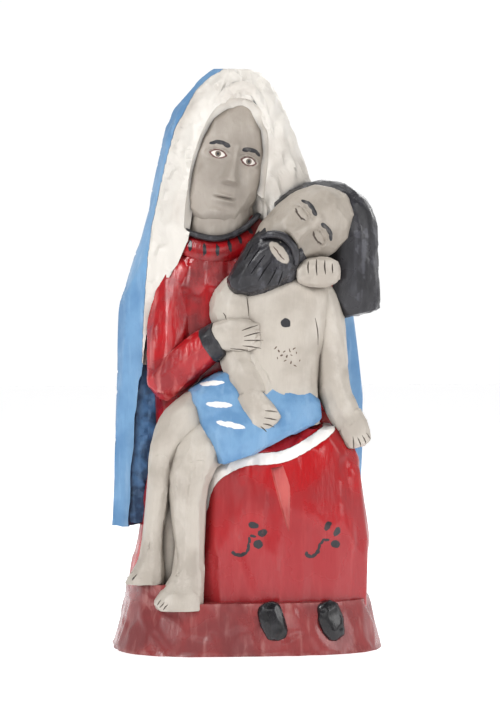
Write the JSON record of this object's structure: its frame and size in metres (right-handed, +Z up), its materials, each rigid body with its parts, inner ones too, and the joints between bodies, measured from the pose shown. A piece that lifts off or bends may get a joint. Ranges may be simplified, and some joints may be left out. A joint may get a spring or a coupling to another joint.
{
  "type": "pieta statue",
  "caption": "Carved and painted wooden statue of a seated robed mother holding her dead son across her lap, on a low ground carved from the same block.",
  "frame": {"origin": "middle of the ground block's flat underside, below the middle of the figures", "axes": "+Z up the figures, -Y towards the viewer, +X towards the son's head"},
  "size_m": [0.2136, 0.1438, 0.46],
  "materials": {
    "painted_wood": "brush-painted carved wood, satin, in red, light blue, white, grey and black"
  },
  "bodies": {
    "root": {"pieta_statue": "painted_wood"}
  },
  "joints": []
}
